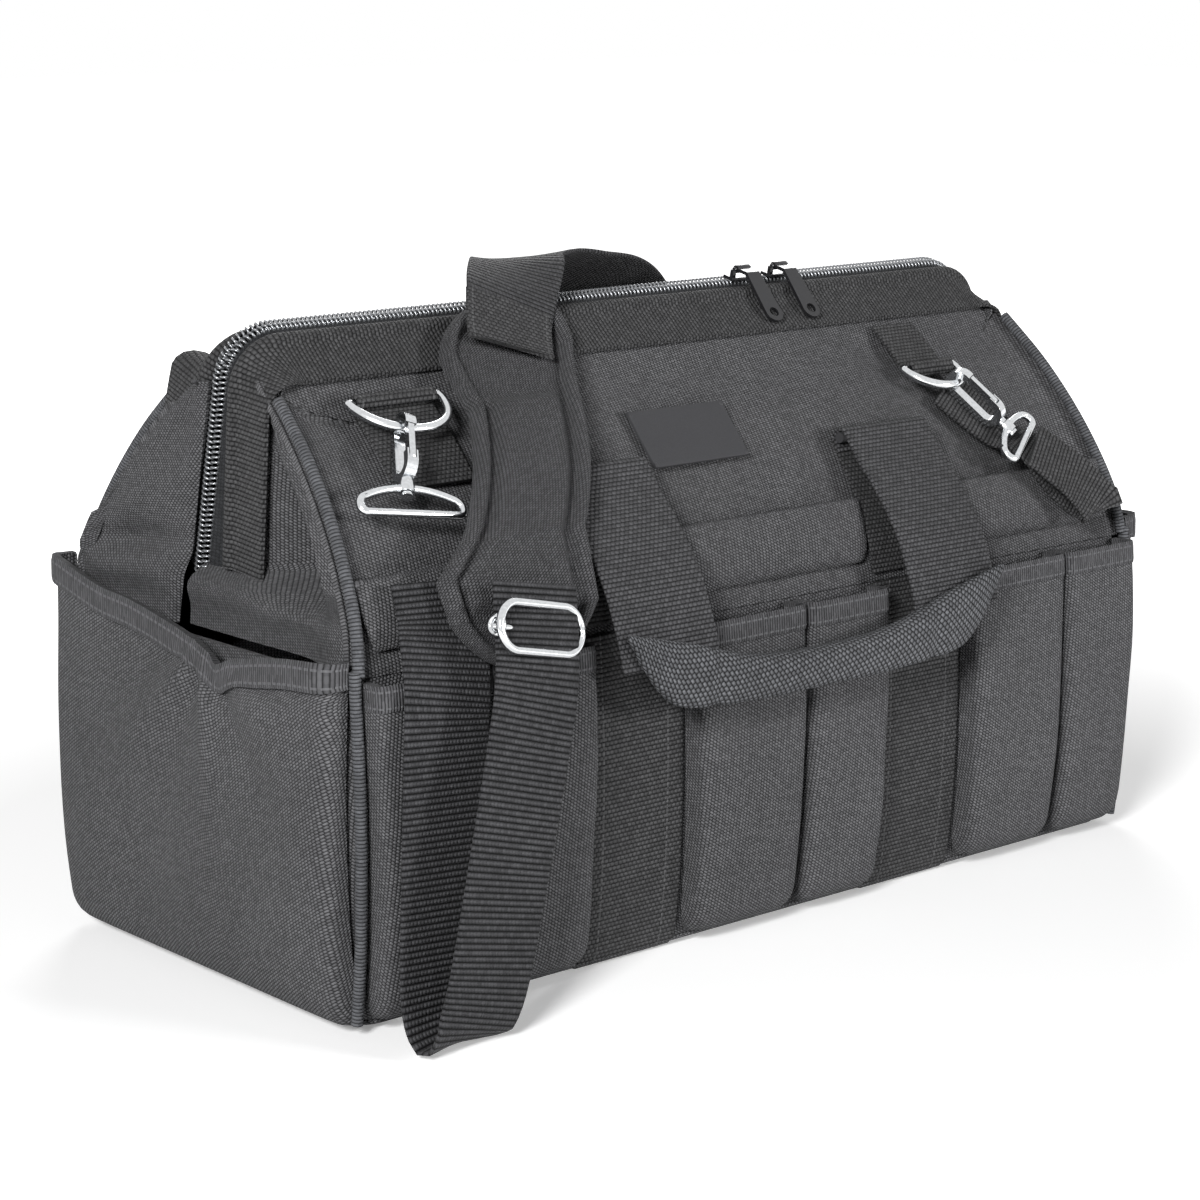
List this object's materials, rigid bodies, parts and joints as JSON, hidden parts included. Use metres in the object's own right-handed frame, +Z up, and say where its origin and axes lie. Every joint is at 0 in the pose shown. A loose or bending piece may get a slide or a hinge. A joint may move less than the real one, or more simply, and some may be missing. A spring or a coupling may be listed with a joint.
{
  "type": "tool bag",
  "caption": "Soft wide-mouth tool bag with two steel-framed mouth halves, double zip, bellows pockets all round, two webbing handles and a padded shoulder strap.",
  "frame": {"origin": "middle of the bag's footprint, on the floor", "axes": "+Z up; X runs along the bag's length; the front with the label, the shoulder pad and the tape strap faces -Y"},
  "size_m": [0.4474, 0.2611, 0.2675],
  "materials": {
    "body_fabric": "matt charcoal twill",
    "webbing": "coarse black woven webbing",
    "handle_webbing": "heavy black woven webbing, grip rolled and padded",
    "pad_mesh": "padded black fabric with a taped edge",
    "zip": "black moulded teeth on black tape",
    "zip_metal": "black lacquered metal",
    "bright_metal": "bright nickel plate",
    "steel": "bare steel rod",
    "pin_core": "folded webbing core",
    "label": "matt black rubbery patch, bare",
    "board": "black board"
  },
  "bodies": {
    "bag": {"base_board": "board", "base_panel": "body_fabric", "base_straps": "webbing", "front_panel": "body_fabric", "back_panel": "body_fabric", "left_end_panel": "body_fabric", "right_end_panel": "body_fabric", "front_left_pockets": "body_fabric", "front_middle_pockets": "body_fabric", "front_right_pockets": "body_fabric", "left_end_pocket": "body_fabric", "right_end_pocket": "body_fabric", "back_pockets": "body_fabric", "corner_piping": "body_fabric", "left_gusset": "body_fabric", "right_gusset": "body_fabric", "strap_loop": "webbing"},
    "front_mouth": {"front_upper_panel": "body_fabric", "front_frame_rod": "steel", "front_frame_sleeve": "webbing", "front_zip_row": "zip", "front_slip_pockets": "body_fabric", "label_patch": "label", "front_ring_patch": "webbing", "front_handle_webs": "webbing", "front_mouth_piping": "body_fabric", "tape_strap": "webbing", "tape_loop": "webbing", "shoulder_pad": "pad_mesh", "strap_slider": "bright_metal"},
    "back_mouth": {"back_upper_panel": "body_fabric", "back_frame_rod": "steel", "back_frame_sleeve": "webbing", "back_zip_row": "zip", "back_ring_patch": "webbing", "back_handle_webs": "webbing", "back_mouth_piping": "body_fabric", "strap_over_mouth": "webbing"},
    "front_handle_hanger": {"front_handle_pins": "pin_core"},
    "front_handle_grip": {"front_handle": "handle_webbing"},
    "back_handle_hanger": {"back_handle_pins": "pin_core"},
    "back_handle_grip": {"back_handle": "handle_webbing"},
    "left_zip_slider": {"zip_slider_left": "zip_metal"},
    "right_zip_slider": {"zip_slider_right": "zip_metal"},
    "left_zip_pull": {"zip_pull_left": "zip_metal"},
    "right_zip_pull": {"zip_pull_right": "zip_metal"},
    "front_ring": {"front_d_ring": "bright_metal"},
    "front_snap_hook": {"front_hook": "bright_metal"},
    "front_snap_gate": {"front_hook_gate": "bright_metal"},
    "front_swivel_bail": {"front_hook_bail": "bright_metal"},
    "tape_ring": {"tape_d_ring": "bright_metal"},
    "tape_snap_hook": {"tape_hook": "bright_metal"},
    "tape_snap_gate": {"tape_hook_gate": "bright_metal"},
    "tape_swivel_bail": {"tape_hook_bail": "bright_metal"},
    "back_ring": {"back_d_ring": "bright_metal"},
    "back_snap_hook": {"back_hook": "bright_metal"},
    "back_snap_gate": {"back_hook_gate": "bright_metal"},
    "back_swivel_bail": {"back_hook_bail": "bright_metal"}
  },
  "joints": [
    {"name": "front_mouth_swing", "type": "hinge", "parent": "bag", "child": "front_mouth", "pos_m": [0, -0.08984, 0.13469], "axis": [1, 0, 0], "range_deg": [0, 34], "deforming": ["left_gusset", "right_gusset", "strap_loop", "tape_loop", "shoulder_pad"]},
    {"name": "back_mouth_swing", "type": "hinge", "parent": "bag", "child": "back_mouth", "pos_m": [0, 0.08984, 0.13469], "axis": [-1, 0, 0], "range_deg": [0, 34], "deforming": ["strap_over_mouth"]},
    {"name": "front_handle_hang", "type": "hinge", "parent": "front_mouth", "child": "front_handle_hanger", "pos_m": [0, -0.07093, 0.19047], "axis": [-1, 0, 0], "range_deg": [0, 13.6]},
    {"name": "front_handle_swing", "type": "hinge", "parent": "front_handle_hanger", "child": "front_handle_grip", "pos_m": [0, -0.07093, 0.19047], "axis": [-1, 0, 0], "range_deg": [0, 160]},
    {"name": "back_handle_hang", "type": "hinge", "parent": "back_mouth", "child": "back_handle_hanger", "pos_m": [0, 0.07093, 0.19047], "axis": [1, 0, 0], "range_deg": [0, 13.6]},
    {"name": "back_handle_swing", "type": "hinge", "parent": "back_handle_hanger", "child": "back_handle_grip", "pos_m": [0, 0.07093, 0.19047], "axis": [1, 0, 0], "range_deg": [0, 160]},
    {"name": "left_slider_run", "type": "slide", "parent": "front_mouth", "child": "left_zip_slider", "axis": [-1, 0, 0], "range_m": [0, 0.2343]},
    {"name": "right_slider_run", "type": "slide", "parent": "front_mouth", "child": "right_zip_slider", "axis": [1, 0, 0], "range_m": [0, 0.0883]},
    {"name": "left_pull_swing", "type": "hinge", "parent": "left_zip_slider", "child": "left_zip_pull", "pos_m": [0.062, -0.00369, 0.25419], "axis": [-1, 0, 0], "range_deg": [0, 120]},
    {"name": "right_pull_swing", "type": "hinge", "parent": "right_zip_slider", "child": "right_zip_pull", "pos_m": [0.084, -0.00369, 0.25419], "axis": [-1, 0, 0], "range_deg": [0, 120]},
    {"name": "front_ring_swing", "type": "hinge", "parent": "front_mouth", "child": "front_ring", "pos_m": [-0.15, -0.03754, 0.22233], "axis": [-1, 0, 0], "range_deg": [0, 60]},
    {"name": "front_hook_swing", "type": "hinge", "parent": "front_ring", "child": "front_snap_hook", "pos_m": [-0.15883, -0.05484, 0.21463], "axis": [-0.9063, 0.3861, 0.1719], "range_deg": [0, 50]},
    {"name": "front_gate_swing", "type": "hinge", "parent": "front_snap_hook", "child": "front_snap_gate", "pos_m": [-0.16581, -0.06849, 0.20679], "axis": [-0.9063, 0.2828, 0.3141], "range_deg": [0, 20], "stiffness_Nm_per_rad": 0.03, "springref_deg": -5.73},
    {"name": "front_bail_swivel", "type": "hinge", "parent": "front_snap_hook", "child": "front_swivel_bail", "pos_m": [-0.17083, -0.07207, 0.1955], "axis": [-0.4226, -0.6064, -0.6735], "range_deg": [-10, 10]},
    {"name": "tape_ring_swing", "type": "hinge", "parent": "front_mouth", "child": "tape_ring", "pos_m": [0.129, -0.05025, 0.21078], "axis": [-1, 0, 0], "range_deg": [0, 60]},
    {"name": "tape_hook_swing", "type": "hinge", "parent": "tape_ring", "child": "tape_snap_hook", "pos_m": [0.1353, -0.06259, 0.20529], "axis": [-0.9063, -0.3861, -0.1719], "range_deg": [0, 50]},
    {"name": "tape_gate_swing", "type": "hinge", "parent": "tape_snap_hook", "child": "tape_snap_gate", "pos_m": [0.14227, -0.07624, 0.19746], "axis": [-0.9063, -0.2828, -0.3141], "range_deg": [0, 20], "stiffness_Nm_per_rad": 0.03, "springref_deg": -5.73},
    {"name": "tape_bail_swivel", "type": "hinge", "parent": "tape_snap_hook", "child": "tape_swivel_bail", "pos_m": [0.1473, -0.07981, 0.18616], "axis": [0.4226, -0.6064, -0.6735], "range_deg": [-10, 10]},
    {"name": "back_ring_swing", "type": "hinge", "parent": "back_mouth", "child": "back_ring", "pos_m": [0.15, 0.03754, 0.22233], "axis": [1, 0, 0], "range_deg": [0, 60]},
    {"name": "back_hook_swing", "type": "hinge", "parent": "back_ring", "child": "back_snap_hook", "pos_m": [0.14117, 0.05484, 0.21463], "axis": [0.9063, 0.3861, -0.1719], "range_deg": [0, 50]},
    {"name": "back_gate_swing", "type": "hinge", "parent": "back_snap_hook", "child": "back_snap_gate", "pos_m": [0.13419, 0.06849, 0.20679], "axis": [0.9063, 0.2828, -0.3141], "range_deg": [0, 20], "stiffness_Nm_per_rad": 0.03, "springref_deg": -5.73},
    {"name": "back_bail_swivel", "type": "hinge", "parent": "back_snap_hook", "child": "back_swivel_bail", "pos_m": [0.12917, 0.07207, 0.1955], "axis": [0.4226, -0.6064, 0.6735], "range_deg": [-10, 10]}
  ],
  "couplings": [
    {"joint": "front_handle_hang", "follows": "front_mouth_swing", "ratio": 0.4},
    {"joint": "back_handle_hang", "follows": "back_mouth_swing", "ratio": 0.4}
  ]
}
